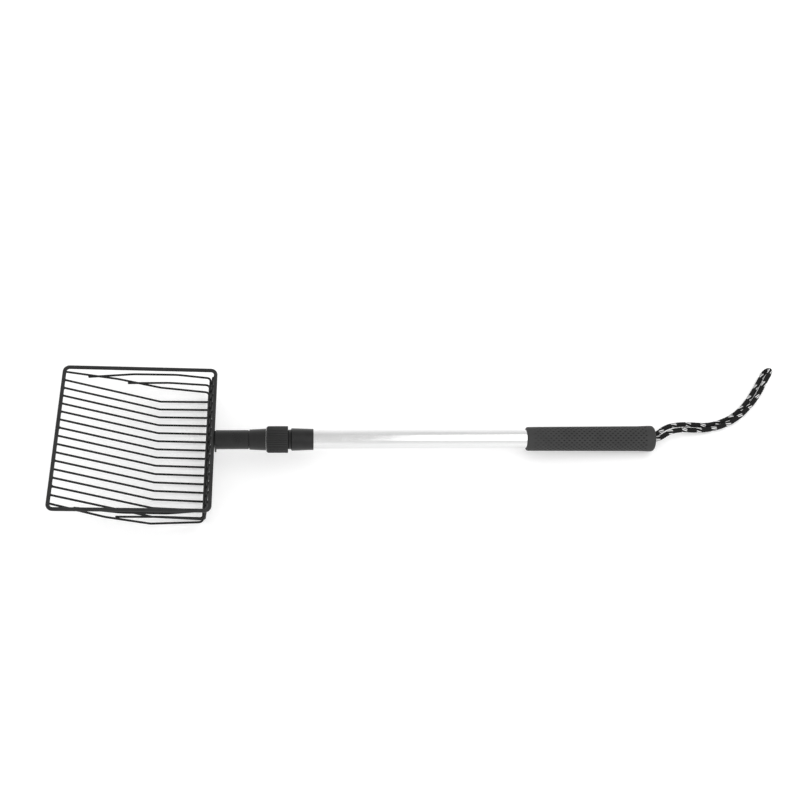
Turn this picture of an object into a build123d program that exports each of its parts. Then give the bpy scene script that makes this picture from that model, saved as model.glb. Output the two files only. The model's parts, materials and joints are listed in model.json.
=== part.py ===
from build123d import *
from math import asin, atan2, cos, degrees, hypot, pi, radians, sin
import os

# Beach sand scoop: a sifting basket of welded wire on a telescoping pole with a twist lock,
# a rubber grip and a wrist cord. Millimetres.
#
# Two working frames are used before everything is set down on the ground:
#   basket frame  X runs back from the middle of the front bar, Y is to the side, Z is up,
#                 and the centre line of the rim lies in the plane z = 0
#   pole frame    X runs along the pole from the rear bar to the grip, Z is up
# The row frame is the scoop as it lies on the ground: the back edge of the basket floor and the
# end of the grip touch z = 0, +X points to the grip, and the origin is under the middle.

# wire basket
rim_wire = 4.5            # diameters over the coating
thin_wire = 2.5
weld_bite = 0.15          # how far welded wires sink into each other
basket_length = 177.3     # front bar to rear bar, centre to centre
basket_width = 190.0      # side rail to side rail, centre to centre
rim_corner = 6.0          # centre line radius of the rim's corners
floor_wires = 15
floor_depth = 47.0        # rim plane to floor wires at the kink
floor_fall = 1.6          # the floor goes this much deeper towards the back
flat_floor = 60.2         # kink to the back bend
back_gap = 7.1            # back bend to the rear bar, along X
kink_radius = 7.0
back_radius = 5.0
wall_top_gap = 3.0        # centre of the rear bar to the wires welded on its inside
wall_top_rise = 0.6       # the cut ends of the wires stand this much above the bar's centre
side_gap = 7.0            # side rail to the lower hoop at the front bar
kink_spread = 1.026       # the floor wires fan out a little towards the back
back_spread = 1.051
top_spread = 1.09

# the three hoops: half widths and depths of their side runs
lower_side_gap = 1.6      # side rail to the lower hoop at its widest and at the kink
lower_back_gap = 5.9      # side rail to the lower hoop at the rear corner
lower_depth = 37.0        # at the kink
lower_back_depth = 39.6
lower_front_rise = 0.6    # its front ends sit this much above the bar's centre
lower_kink_draw = 0.4     # its side run is drawn in by this much at the kink
lower_bow_share = 0.55    # place of its widest point along the run to the kink
lower_bow_drop = 0.6
middle_depth = 25.0       # at its front ends
middle_arch = 1.7         # the side runs arch up by this much on their way back
middle_back_gap = 4.0
middle_back_depth = 26.4
middle_bow = 0.3
middle_stub_drop = 0.2
upper_depth = 9.6
upper_side_gap = 1.0      # side rail to the upper hoop where it bows out most
upper_back_gap = 5.0
upper_bow_shares = (0.36, 0.72)
upper_bow_ease = 0.5
stub_length = 2.0         # hoop ends run past their weld by this much
stub_slant = 0.1          # and lean in by this share of their length
hoop_corner = 4.5
bow_radius = 90.0
kink_bow_radius = 12.0

# socket on the rear bar
pole_rise = 2.23          # degrees that the pole tips up from the rim plane
pole_drop = 3.54          # pole axis below the rim plane at the rear bar
plate_thickness = 1.8
plate_width = 20.0
plate_bottom = 12.0       # below the pole axis
socket_diameter = 22.6
socket_wall = 1.0
socket_end = 41.5         # distance of its open end from the rear bar
rivet_radius = 1.6
rivet_head_radius = 3.2
rivet_head_height = 1.3
rivet_tail_radius = 2.1
rivet_tail_length = 3.0
rivet_place = 27.0

# pole
outer_diameter = 22.0
outer_wall = 1.2
inner_diameter = 19.0
inner_wall = 1.2
inner_start = 10.0
inner_end = 474.8
outer_start = 93.0        # end of the bare tube inside the collet body
outer_end = 519.0
slide_clearance = 0.06    # radial, between pieces that run on each other
thread_clearance = 0.08
travel = 380.0            # how far the pole pulls out
edge_break = 0.4          # small bevels on the moulded pieces

# collar, nut and collet body, along the pole from the rear bar
collar_length = 20.1
collar_front_diameter = 23.3
collar_back_diameter = 25.7
collar_spigot = 29.0      # length of the collar's spigot inside the socket
nut_start = 62.2
nut_length = 25.2
nut_diameter = 31.4
nut_ribs = 44
nut_rib_depth = 0.55
nut_chamfer = 1.6
nut_front_wall = 2.0
nut_front_clearance = 0.25
groove_share = 0.6        # width of a groove between the ribs over their pitch
neck_diameter = 23.7
neck_length = 3.3
nose_gap = 0.4            # collet nose behind the nut's front wall
nose_diameter = 21.3
nose_clearance = 0.1
cone_length = 6.0
slot_width = 1.2
slot_length = 16.0
slots = 4
sleeve_length = 26.4
sleeve_front_diameter = 26.6
sleeve_back_diameter = 25.1
sleeve_chamfer = 1.1

# guide bush on the hidden end of the inner tube
bush_flange = 12.0
bush_spigot = 14.0
bush_bore = 12.0
bush_bevel = 0.5
end_gap = 0.2

# grip, end plug and cord
grip_start = 369.5
grip_length = 155.0
grip_front_diameter = 28.4
grip_back_diameter = 29.8
grip_flare_diameter = 30.9
grip_flare_length = 22.0
grip_front_round = 2.2
grip_end_round = 4.0
cord_hole = 12.6
hole_flare = 3.4
plug_length = 12.5
knot_length = 15.0
knot_diameter = 17.0
knot_flat = 14.6
knot_taper = 4.0          # its inner end is this much thinner than the flat
cord_diameter = 5.6

# The cord's two strands, as points in the row frame: out of the grip, along the ground to the
# fold, and back beside the first strand.
cord_points = [
    (333.2, 2.9, 15.8), (351.5, 2.9, 14.7), (368.2, 16.4, 14.2), (387.3, 21.4, 11.0),
    (405.6, 22.5, 7.0), (422.4, 22.5, 4.0), (438.6, 26.6, 2.8), (455.3, 34.0, 2.8),
    (468.8, 44.5, 2.8), (480.2, 56.9, 2.8), (490.8, 71.1, 2.8), (500.9, 86.0, 2.8),
    (510.6, 100.6, 2.8), (516.2, 96.3, 12.2), (505.7, 82.0, 8.4), (496.2, 66.9, 4.2),
    (484.6, 52.5, 3.4), (471.7, 39.7, 4.6), (458.4, 29.0, 4.9), (440.8, 20.7, 4.6),
    (424.2, 16.7, 4.6), (406.5, 14.4, 7.0), (388.9, 14.0, 11.0), (372.4, 9.7, 14.0),
    (353.8, -2.9, 14.5), (333.2, -2.9, 15.8)]


# ---------------------------------------------------------------- wires

def wire(points, bend_radii, diameter):
    """A round wire along straight runs joined by tangent bends."""
    path = FilletPolyline(*points, radius=bend_radii)
    start = Plane(origin=path @ 0, z_dir=path % 0)
    return sweep(start * Circle(diameter / 2), path=path)


def between(first, last, share):
    """The point at this share of the way between two points."""
    return tuple(a + (b - a) * share for a, b in zip(first, last))


half_width = basket_width / 2
kink_x = basket_length - back_gap - flat_floor
back_x = basket_length - back_gap
back_z = -floor_depth - floor_fall
wall_top_x = basket_length - wall_top_gap
side_front = half_width - side_gap
wire_pitch = 2 * side_front / (floor_wires + 1)


def wall_x(z):
    """X of the back wall's wires at this height."""
    return back_x + (wall_top_x - back_x) * (z - back_z) / (wall_top_rise - back_z)


def hoop_back_x(z):
    """X of a hoop's run across the inside of the back wall."""
    return wall_x(z) - thin_wire + weld_bite


def make_rim():
    outline = RectangleRounded(basket_length, basket_width, rim_corner).wire()
    outline = Pos(basket_length / 2, 0, 0) * outline
    start = Plane(origin=outline @ 0, z_dir=outline % 0)
    return sweep(start * Circle(rim_wire / 2), path=outline)


def make_floor_wire(place):
    y = wire_pitch * place
    points = [(0, y, 0), (kink_x, y * kink_spread, -floor_depth), (back_x, y * back_spread, back_z),
              (wall_top_x, y * top_spread, wall_top_rise)]
    return wire(points, [kink_radius, back_radius], thin_wire)


def mirrored_hoop(side_points, side_radii):
    """One side run's points, front to rear corner, and the same run mirrored."""
    other_side = [(x, -y, z) for x, y, z in reversed(side_points)]
    radii = side_radii + list(reversed(side_radii))
    return wire(side_points + other_side, radii, thin_wire)


lower_widest = half_width - lower_side_gap
lower_front = (0, side_front, lower_front_rise)
lower_kink = (kink_x, lower_widest - lower_kink_draw, -lower_depth)
lower_mid = between(lower_front, lower_kink, lower_bow_share)
lower_mid = (lower_mid[0], lower_widest, lower_mid[2] - lower_bow_drop)
lower_corner = (hoop_back_x(-lower_back_depth), half_width - lower_back_gap, -lower_back_depth)


def on_lower_hoop(depth):
    """Where the lower hoop's side run passes this depth, one weld further in."""
    first, last = (lower_front, lower_mid)
    if depth > -lower_mid[2]:
        first, last = (lower_mid, lower_kink)
    share = (-depth - first[2]) / (last[2] - first[2])
    x, y, z = between(first, last, share)
    return (x, y - thin_wire + weld_bite, z)


def make_lower_hoop():
    side = [lower_front, lower_mid, lower_kink, lower_corner]
    return mirrored_hoop(side, [bow_radius, kink_bow_radius, hoop_corner])


def make_middle_hoop():
    weld = on_lower_hoop(middle_depth)
    corner = (hoop_back_x(-middle_back_depth), half_width - middle_back_gap, -middle_back_depth)
    arch = between(weld, corner, 0.5)
    side = [(weld[0] - stub_length, weld[1] - stub_length * stub_slant, weld[2] - middle_stub_drop),
            (arch[0], arch[1] + middle_bow, -middle_depth + middle_arch), corner]
    return mirrored_hoop(side, [bow_radius, hoop_corner])


def make_upper_hoop():
    weld = on_lower_hoop(upper_depth)
    corner = (hoop_back_x(-upper_depth), half_width - upper_back_gap, -upper_depth)
    first_bow = between(weld, corner, upper_bow_shares[0])
    last_bow = between(weld, corner, upper_bow_shares[1])
    bow_y = half_width - upper_side_gap
    side = [(weld[0] - stub_length, weld[1] - stub_length * stub_slant, -upper_depth),
            (first_bow[0], bow_y - upper_bow_ease, -upper_depth), (last_bow[0], bow_y, -upper_depth), corner]
    return mirrored_hoop(side, [bow_radius, bow_radius, hoop_corner])


# ---------------------------------------------------------------- turned pieces, in the pole frame

def turned(outline):
    """A closed outline of (x, radius) points turned about the pole axis."""
    profile = make_face(Polyline(*[(x, 0, r) for x, r in outline], close=True))
    return revolve(profile, Axis.X)


def tube(start, end, outer_radius, inner_radius):
    return turned([(start, inner_radius), (end, inner_radius), (end, outer_radius),
                   (start, outer_radius)])


def rod(start, end, radius):
    return Pos((start + end) / 2, 0, 0) * Rot(0, 90, 0) * Cylinder(radius, end - start)


outer_radius = outer_diameter / 2
outer_bore = outer_radius - outer_wall
inner_radius = inner_diameter / 2
inner_bore = inner_radius - inner_wall
socket_radius = socket_diameter / 2
socket_bore = socket_radius - socket_wall
plate_start = rim_wire / 2 - weld_bite
socket_start = plate_start + plate_thickness
collar_end = socket_end + collar_length
nut_end = nut_start + nut_length
neck_radius = neck_diameter / 2
neck_end = nut_end + neck_length
sleeve_end = neck_end + sleeve_length
grip_end = grip_start + grip_length
slide_bore = inner_radius + slide_clearance
rivet_hole = Pos(rivet_place, 0, -socket_radius) * Cylinder(rivet_radius, socket_diameter / 2)


def make_socket_plate():
    height = plate_bottom + pole_drop
    middle = Pos(plate_start + plate_thickness / 2, 0, pole_drop - height / 2)
    return middle * Box(plate_thickness, plate_width, height)


def make_socket_tube():
    return tube(socket_start, socket_end, socket_radius, socket_bore) - rivet_hole


def make_collar():
    small_radius = collar_front_diameter / 2
    big_radius = collar_back_diameter / 2
    outline = [(socket_end - collar_spigot, inner_radius), (collar_end, inner_radius),
               (collar_end, big_radius - edge_break), (collar_end - edge_break, big_radius),
               (socket_end + edge_break, small_radius), (socket_end, small_radius - edge_break),
               (socket_end, socket_bore), (socket_end - collar_spigot, socket_bore)]
    return turned(outline) - rivet_hole


def make_inner_tube():
    return tube(inner_start, inner_end, inner_radius, inner_bore) - rivet_hole


def make_rivet():
    """Blind rivet from below: domed head outside, swelled tail inside the inner tube."""
    tail_end = inner_bore - rivet_tail_length
    outline = [(0, tail_end), (rivet_tail_radius, tail_end),
               (rivet_tail_radius, inner_bore - 2 * edge_break),
               (rivet_radius, inner_bore - edge_break), (rivet_radius, socket_radius),
               (rivet_head_radius, socket_radius),
               (rivet_head_radius * 0.75, socket_radius + rivet_head_height * 0.8),
               (0, socket_radius + rivet_head_height)]
    profile = make_face(Polyline(*[(r, 0, -z) for r, z in outline], close=True))
    return Pos(rivet_place, 0, 0) * revolve(profile, Axis.Z)


def make_lock_nut():
    front_bore = inner_radius + nut_front_clearance
    thread_bore = neck_radius + thread_clearance
    cone_front = nose_diameter / 2 + nose_clearance
    radius = nut_diameter / 2
    wall_back = nut_start + nut_front_wall
    outline = [(nut_start, front_bore), (wall_back, front_bore), (wall_back, cone_front),
               (wall_back + cone_length, thread_bore), (nut_end, thread_bore),
               (nut_end, radius - edge_break), (nut_end - edge_break, radius),
               (nut_start + nut_chamfer, radius), (nut_start, radius - nut_chamfer)]
    nut = turned(outline)
    groove_radius = groove_share * pi * nut_diameter / nut_ribs / 2
    groove_center = radius + groove_radius - nut_rib_depth
    grooves = [Rot(360 * i / nut_ribs, 0, 0) * Pos(0, 0, groove_center)
               * rod(nut_start - 1, nut_end + 1, groove_radius) for i in range(nut_ribs)]
    return nut - grooves


def make_collet_body():
    seat = outer_start
    nose = nut_start + nut_front_wall + nose_gap
    cone_back = nut_start + nut_front_wall + cone_length
    front_radius = sleeve_front_diameter / 2
    end_radius = sleeve_back_diameter / 2
    outline = [(nose, slide_bore), (seat, slide_bore), (seat, outer_radius),
               (sleeve_end, outer_radius), (sleeve_end, end_radius - edge_break),
               (sleeve_end - edge_break, end_radius), (neck_end + sleeve_chamfer, front_radius),
               (neck_end, front_radius - sleeve_chamfer), (neck_end, neck_radius),
               (cone_back, neck_radius), (nose, nose_diameter / 2)]
    body = turned(outline)
    slot_box = Box(slot_length, slot_width, neck_diameter)
    cuts = [Rot(360 * i / slots, 0, 0) * Pos(nose + slot_length / 2, 0, neck_diameter / 2) * slot_box
            for i in range(slots)]
    return body - cuts


def make_outer_tube():
    return tube(outer_start, outer_end, outer_radius, outer_bore)


def make_guide_bush():
    """Flange that runs in the outer tube, on a spigot that turns in the inner tube."""
    flange_radius = outer_bore - slide_clearance
    spigot_radius = inner_bore - slide_clearance
    flange_start = inner_end + end_gap
    outline = [(inner_end - bush_spigot, bush_bore / 2), (flange_start + bush_flange, bush_bore / 2),
               (flange_start + bush_flange, flange_radius - bush_bevel),
               (flange_start + bush_flange - bush_bevel, flange_radius), (flange_start, flange_radius),
               (flange_start, spigot_radius), (inner_end - bush_spigot, spigot_radius)]
    return turned(outline)


def make_grip():
    """Sleeve over the tube: slight taper, flared end, rounded edge and a flared cord hole."""
    front = grip_front_diameter / 2
    back = grip_back_diameter / 2
    flare = grip_flare_diameter / 2
    hole = cord_hole / 2
    end = grip_end
    points = [(grip_start, outer_radius), (outer_end, outer_radius), (outer_end, hole),
              (end - hole_flare, hole)]
    lines = Polyline(*[(x, 0, r) for x, r in points])
    mouth = ThreePointArc((end - hole_flare, 0, hole),
                          (end - hole_flare * (1 - sin(pi / 4)), 0, hole + hole_flare * (1 - cos(pi / 4))),
                          (end, 0, hole + hole_flare))
    face = Line((end, 0, hole + hole_flare), (end, 0, flare - grip_end_round))
    edge = ThreePointArc((end, 0, flare - grip_end_round),
                         (end - grip_end_round * (1 - cos(pi / 4)), 0,
                          flare - grip_end_round * (1 - sin(pi / 4))),
                         (end - grip_end_round, 0, flare))
    flare_start = end - grip_flare_length
    skirt = Spline((end - grip_end_round, 0, flare), (flare_start, 0, back),
                   tangents=[(-1, 0, 0), (-1, 0, (front - back) / (flare_start - grip_start))])
    side = Polyline((flare_start, 0, back), (grip_start + grip_front_round, 0, front),
                    (grip_start, 0, front - grip_front_round), (grip_start, 0, outer_radius))
    return revolve(make_face(lines + mouth + face + edge + skirt + side), Axis.X)


def make_end_plug():
    return tube(outer_end - plug_length, outer_end, outer_bore, cord_hole / 2)


def make_knot():
    """The knot as a barrel with a flat that bears on the plug."""
    end = outer_end - plug_length
    start = end - knot_length
    middle = (start + end) / 2
    start_radius = (knot_flat - knot_taper) / 2
    barrel = ThreePointArc((end, 0, knot_flat / 2), (middle, 0, knot_diameter / 2),
                           (start, 0, start_radius))
    ends = Polyline((start, 0, start_radius), (start, 0, 0), (end, 0, 0), (end, 0, knot_flat / 2))
    return revolve(make_face(barrel + ends), Axis.X)


def corner_radii(points):
    """Each bend as large as its two runs allow: 0.45 of the shorter run over tan(half the turn)."""
    radii = []
    for before, here, after in zip(points, points[1:], points[2:]):
        run_in = Vector(here) - Vector(before)
        run_out = Vector(after) - Vector(here)
        half_turn = radians(run_in.get_angle(run_out)) / 2
        radii.append(0.45 * min(run_in.length, run_out.length) / (sin(half_turn) / cos(half_turn)))
    return radii


def make_cord():
    radii = corner_radii(cord_points)
    path = FilletPolyline(*cord_points, radius=radii)
    start = Plane(origin=path @ 0, z_dir=path % 0)
    cord = sweep(start * Circle(cord_diameter / 2), path=path)
    print("cord length", round(path.length, 1), "volume", round(cord.volume, 1), "of",
          round(path.length * pi * cord_diameter ** 2 / 4, 1))
    print("cord radii", [round(radius, 1) for radius in radii])
    return cord


# ---------------------------------------------------------------- setting the scoop down

def ground_tilt():
    """Turn about Y that brings the back bend of the floor and the end of the grip to one level."""
    bend_center = (back_x - back_radius, back_z + back_radius)
    bend_outside = back_radius + thin_wire / 2
    rise = radians(pole_rise)
    along = grip_end - grip_end_round
    below = grip_flare_diameter / 2
    grip_low = (basket_length + along * cos(rise) + below * sin(rise),
                -pole_drop + along * sin(rise) - below * cos(rise))
    run = grip_low[0] - bend_center[0]
    climb = grip_low[1] - bend_center[1]
    return degrees(atan2(climb, run) + asin(bend_outside / hypot(run, climb)))


pole_place = Location((basket_length, 0, -pole_drop), (0, -pole_rise, 0))
tilt = Location((0, 0, 0), (0, ground_tilt(), 0))

rim = make_rim()
hoops = {"lower_hoop": make_lower_hoop(), "middle_hoop": make_middle_hoop(),
         "upper_hoop": make_upper_hoop()}
hoops["lower_hoop"] = hoops["lower_hoop"] - rim
hoops["middle_hoop"] = hoops["middle_hoop"] - hoops["lower_hoop"]
hoops["upper_hoop"] = hoops["upper_hoop"] - hoops["lower_hoop"]

basket = {"rim_frame": rim, **hoops}
for number in range(floor_wires):
    place = number - (floor_wires - 1) / 2
    floor_wire = make_floor_wire(place) - rim - list(hoops.values())
    basket[f"floor_wire_{number + 1:02d}"] = floor_wire
basket["socket_plate"] = (pole_place * make_socket_plate()) - rim

pole = {"socket_tube": make_socket_tube(), "socket_rivet": make_rivet(), "collar": make_collar(),
        "inner_tube": make_inner_tube(), "guide_bush": make_guide_bush(), "lock_nut": make_lock_nut(),
        "collet_body": make_collet_body(), "outer_tube": make_outer_tube(), "grip_sleeve": make_grip(),
        "end_plug": make_end_plug(), "lanyard_knot": make_knot()}

pieces = {name: tilt * piece for name, piece in basket.items()}
pieces.update({name: tilt * pole_place * piece for name, piece in pole.items()})

low = min(pieces["floor_wire_01"].bounding_box().min.Z, pieces["grip_sleeve"].bounding_box().min.Z)
front = pieces["rim_frame"].bounding_box().min.X
back = pieces["grip_sleeve"].bounding_box().max.X
set_down = Pos(-(front + back) / 2, 0, -low)
pieces = {name: set_down * piece for name, piece in pieces.items()}
pieces["lanyard_cord"] = make_cord()

pole_start = (set_down * tilt * pole_place).position
pole_end = (set_down * tilt * pole_place * Pos(1, 0, 0)).position
print("pole axis from", pole_start, "along", pole_end - pole_start)
print("length folded", round(back - front, 1), "length pulled out", round(back - front + travel, 1))

os.makedirs("parts", exist_ok=True)
for name, piece in pieces.items():
    solids = piece.solids()
    if len(solids) != 1:
        print("warning:", name, "is", len(solids), "solids")
    export_step(solids[0] if len(solids) == 1 else piece, f"parts/{name}.step")
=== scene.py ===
import bmesh
import bpy
import json
import math
from mathutils import Matrix, Vector
from mathutils.bvhtree import BVHTree


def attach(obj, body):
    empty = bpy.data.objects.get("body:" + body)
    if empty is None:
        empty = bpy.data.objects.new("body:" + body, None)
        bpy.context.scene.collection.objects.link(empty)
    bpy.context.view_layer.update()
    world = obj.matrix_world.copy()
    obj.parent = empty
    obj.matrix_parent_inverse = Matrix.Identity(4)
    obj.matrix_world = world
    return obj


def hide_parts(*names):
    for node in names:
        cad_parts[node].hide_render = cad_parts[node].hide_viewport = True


# Beach sand scoop: a basket of welded wire, a telescoping pole with a twist lock, a dimpled grip
# and a wrist cord.
# Metres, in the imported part's own frame.

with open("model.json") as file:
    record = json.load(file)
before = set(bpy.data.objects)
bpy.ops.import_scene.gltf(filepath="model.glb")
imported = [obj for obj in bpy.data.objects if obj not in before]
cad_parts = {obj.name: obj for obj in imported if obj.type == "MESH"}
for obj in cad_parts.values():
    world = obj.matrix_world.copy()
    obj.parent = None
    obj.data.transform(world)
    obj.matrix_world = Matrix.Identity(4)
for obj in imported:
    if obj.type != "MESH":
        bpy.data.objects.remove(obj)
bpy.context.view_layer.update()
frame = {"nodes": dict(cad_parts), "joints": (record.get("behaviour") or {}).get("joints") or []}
nodes = frame["nodes"]
mm = 0.001

# the pole's own frame: x along the pole to the grip, y to the side, z up
swivel = next(j for j in frame["joints"] if j["name"] == "pole_swivel")
poleDir = Vector(swivel["axis"]).normalized()
poleUp = poleDir.cross(Vector((0, 1, 0)))
poleMatrix = Matrix.Translation(Vector(swivel["pos_m"])) @ Matrix(
    (poleDir, (0, 1, 0), poleUp)).transposed().to_4x4()
poleAngle = math.atan2(poleDir.z, poleDir.x)


def polePoints(nodeName):
    inverse = poleMatrix.inverted()
    return [inverse @ v.co for v in nodes[nodeName].data.vertices]


def poleSpan(nodeName):
    # first and last x of a turned piece, and its largest radius
    points = polePoints(nodeName)
    xs = [p.x for p in points]
    return min(xs), max(xs), max(math.hypot(p.y, p.z) for p in points)


# camera, light and floor
cameraSetup = {
    "place": (-0.0027, -0.7289, 1.2476),
    "right": (0.9989, -0.0448, 0.0129),
    "up": (0.0307, 0.8393, 0.5428),
    "lens": 54.0,
    "sensor": 36.0,
}


def addCamera():
    data = bpy.data.cameras.new("viewCamera")
    data.lens = cameraSetup["lens"]
    data.sensor_width = cameraSetup["sensor"]
    data.clip_start = 0.05
    data.clip_end = 30
    right = Vector(cameraSetup["right"]).normalized()
    back = right.cross(Vector(cameraSetup["up"])).normalized()
    up = back.cross(right)
    camera = bpy.data.objects.new("viewCamera", data)
    bpy.context.scene.collection.objects.link(camera)
    turn = Matrix((right, up, back)).transposed().to_4x4()
    camera.matrix_world = Matrix.Translation(Vector(cameraSetup["place"])) @ turn
    bpy.context.scene.camera = camera


studio = {
    "zenith": 0.80,         # brightness of the tent overhead
    "horizon": 1.12,        # and near the floor
    "softboxPower": 9.0,
    "softboxSize": (0.95, 2.1),
    "softboxPlace": (0.76, -0.60, 1.45),
    "floorColor": 0.86,
    "floorGlow": 0.28,      # the floor is lit from below too, so shadows stay faint
    "floorSize": 9.0,
}


def addStudio():
    world = bpy.data.worlds.new("lightTent")
    world.use_nodes = True
    bpy.context.scene.world = world
    tree = world.node_tree
    background = tree.nodes["Background"]
    where = tree.nodes.new("ShaderNodeTexCoord")
    split = tree.nodes.new("ShaderNodeSeparateXYZ")
    ramp = tree.nodes.new("ShaderNodeMapRange")
    ramp.inputs["From Min"].default_value = 0.15
    ramp.inputs["From Max"].default_value = 0.80
    ramp.inputs["To Min"].default_value = studio["horizon"]
    ramp.inputs["To Max"].default_value = studio["zenith"]
    tree.links.new(where.outputs["Generated"], split.inputs[0])
    tree.links.new(split.outputs["Z"], ramp.inputs["Value"])
    tree.links.new(ramp.outputs[0], background.inputs["Strength"])
    background.inputs["Color"].default_value = (1, 1, 1, 1)

    lamp = bpy.data.lights.new("softbox", "AREA")
    lamp.shape = "RECTANGLE"
    lamp.size, lamp.size_y = studio["softboxSize"]
    lamp.energy = studio["softboxPower"]
    softbox = bpy.data.objects.new("softbox", lamp)
    bpy.context.scene.collection.objects.link(softbox)
    softbox.location = studio["softboxPlace"]

    view = bpy.context.scene.view_settings
    view.view_transform = "Standard"
    view.look = "None"


# small helpers for node trees
def connect(tree, socket, value):
    # links an output to the socket, or sets a plain value on it
    if isinstance(value, bpy.types.NodeSocket):
        tree.links.new(value, socket)
    else:
        socket.default_value = value


def put(tree, kind, settings=None, **values):
    # adds a node: settings are its own properties, values its inputs by name or by i0, i1 ...
    node = tree.nodes.new(kind)
    for key, value in (settings or {}).items():
        setattr(node, key, value)
    for key, value in values.items():
        numbered = key[0] == "i" and key[1:].isdigit()
        connect(tree, node.inputs[int(key[1:]) if numbered else key.replace("_", " ")], value)
    return node


def get(tree, kind, settings=None, **values):
    # adds a node in the same way and gives its first output
    return put(tree, kind, settings, **values).outputs[0]


def calc(tree, operation, *values):
    return get(tree, "ShaderNodeMath", {"operation": operation},
               **{f"i{k}": v for k, v in enumerate(values)})


def times(tree, first, second):
    return calc(tree, "MULTIPLY", first, second)


def plus(tree, first, second):
    return calc(tree, "ADD", first, second)


def newMaterial(name):
    material = bpy.data.materials.new(name)
    material.use_nodes = True
    return material, material.node_tree, material.node_tree.nodes["Principled BSDF"]


def grey(level):
    return (level, level, level, 1)


def objectPlace(tree, turn=(0, 0, 0), stretch=(1, 1, 1), move=(0, 0, 0)):
    where = put(tree, "ShaderNodeTexCoord").outputs["Object"]
    return get(tree, "ShaderNodeMapping", Vector=where, Location=move, Rotation=turn, Scale=stretch)


def ramp(tree, value, low, high, toLow, toHigh):
    return get(tree, "ShaderNodeMapRange", Value=value, From_Min=low, From_Max=high,
               To_Min=toLow, To_Max=toHigh)


def blendColor(tree, share, first, second):
    mix = put(tree, "ShaderNodeMix", {"data_type": "RGBA"}, i0=share, i6=first, i7=second)
    return mix.outputs[2]


def noiseOf(tree, place, size, detail=3.0, roughness=0.5):
    # size is the blotch size in metres
    return put(tree, "ShaderNodeTexNoise", Vector=place, Scale=1 / size, Detail=detail,
               Roughness=roughness).outputs["Fac"]


def layNoise(tree, lay, alongScale, aroundScale):
    # noise in the cord's own lay, so that it follows the cord
    place = get(tree, "ShaderNodeMapping", Vector=lay, Scale=(alongScale, aroundScale, 1))
    return noiseOf(tree, place, 1.0, 2.0)


def setSurface(tree, shader, color, rough, height, bump, strength=0.5, gloss=0.5):
    # colour, roughness, fine relief and gloss of a finish
    connect(tree, shader.inputs["Base Color"], color)
    connect(tree, shader.inputs["Roughness"], rough)
    shader.inputs["Specular IOR Level"].default_value = gloss
    normal = get(tree, "ShaderNodeBump", Height=height, Strength=strength, Distance=bump)
    connect(tree, shader.inputs["Normal"], normal)


# finishes
noiseRange = (0.3, 0.7)       # most of a noise's values lie in this range
mixRange = (0.35, 0.65)       # and those of two mixed noises in this one
streakRange = (0.36, 0.64)

coatings = {
    # greys of the blotches, roughness range, grain size, bump height, where wear starts, gloss
    "rimCoating": dict(dark=0.014, light=0.026, rough=(0.40, 0.55), grain=0.9 * mm,
                       bump=0.05 * mm, wear=0.66, gloss=0.24),
    "wireCoating": dict(dark=0.006, light=0.013, rough=(0.42, 0.58), grain=0.7 * mm,
                        bump=0.04 * mm, wear=0.68, gloss=0.22),
    "socketCoating": dict(dark=0.002, light=0.006, rough=(0.26, 0.36), grain=0.8 * mm,
                          bump=0.04 * mm, wear=0.70, gloss=0.40),
}
coatingWear = {
    "blotch": 14 * mm,
    "fine": 0.25 * mm,
    "fineGloss": 0.04,
    "fineHeight": 0.35,
    "scuff": 5 * mm,
    "scuffEdge": 0.05,
    "rubbed": 0.55,         # how far a scuff shows
    "rubbedLight": 2.6,     # and how much lighter it is
    "strength": 0.55,
}


def coatingMaterial(name):
    look, wear = coatings[name], coatingWear
    material, tree, shader = newMaterial(name)
    place = objectPlace(tree)
    blotch = noiseOf(tree, place, wear["blotch"], 4.0, 0.6)
    peel = noiseOf(tree, place, look["grain"], 2.0)
    fine = noiseOf(tree, place, wear["fine"], 2.0)
    base = blendColor(tree, ramp(tree, blotch, *noiseRange, 0, 1),
                      grey(look["dark"]), grey(look["light"]))
    # small scuffs where the powder is rubbed thin
    scuff = noiseOf(tree, objectPlace(tree, move=(0.3, 0.1, 0.2)), wear["scuff"], 6.0, 0.75)
    rubbed = ramp(tree, scuff, look["wear"], look["wear"] + wear["scuffEdge"], 0, wear["rubbed"])
    color = blendColor(tree, rubbed, base, grey(look["light"] * wear["rubbedLight"]))
    rough = plus(tree, ramp(tree, blotch, *noiseRange, *look["rough"]),
                 ramp(tree, fine, *noiseRange, -wear["fineGloss"], wear["fineGloss"]))
    height = plus(tree, peel, times(tree, fine, wear["fineHeight"]))
    setSurface(tree, shader, color, rough, height, look["bump"], wear["strength"], look["gloss"])
    return material


plastics = {
    # greys of the cloud, roughness range, grain size and bump height
    "mouldedPlastic": dict(dark=0.003, light=0.009, rough=(0.28, 0.38), grain=0.35 * mm,
                           bump=0.03 * mm),
    "nutPlastic": dict(dark=0.014, light=0.024, rough=(0.30, 0.42), grain=0.30 * mm,
                       bump=0.03 * mm),
    # the turned nut under the ribs: the ribs' plastic, coloured darker as painted shade in the
    # grooves
    "nutGroovePaintedShade": dict(dark=0.002, light=0.004, rough=(0.45, 0.55), grain=0.30 * mm,
                      bump=0.03 * mm),
    "whiteAcetal": dict(dark=0.66, light=0.76, rough=(0.30, 0.40), grain=0.50 * mm,
                        bump=0.02 * mm),
}
plasticFlow = {"width": 3 * mm, "stretch": 0.15, "cloud": 9 * mm, "gloss": 0.38}


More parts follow.
